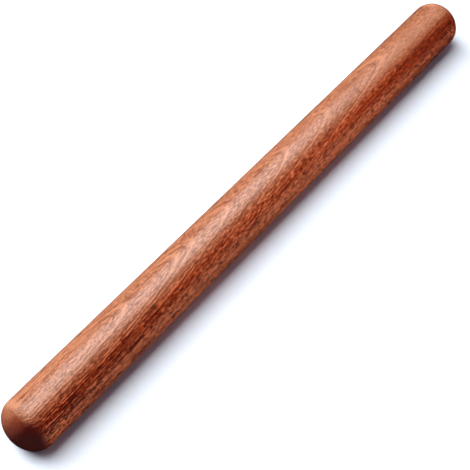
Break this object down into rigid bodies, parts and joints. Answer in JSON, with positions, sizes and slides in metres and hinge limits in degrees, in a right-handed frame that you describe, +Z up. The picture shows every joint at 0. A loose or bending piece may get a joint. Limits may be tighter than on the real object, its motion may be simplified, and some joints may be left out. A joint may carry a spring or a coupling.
{
  "type": "rolling pin",
  "caption": "Plain dowel rolling pin for rolling out dough, straight and solid, turned from reddish brown hardwood with softly rounded ends and a satin oiled finish.",
  "frame": {"origin": "on the surface the pin lies on, under the middle of its length", "axes": "+X along the pin's own axis, +Z up, +Y across the pin"},
  "size_m": [0.4, 0.031, 0.031],
  "materials": {
    "oiled_hardwood": "satin, oiled, with fine open pores along the grain"
  },
  "bodies": {
    "root": {"pin_body": "oiled_hardwood"}
  },
  "joints": []
}
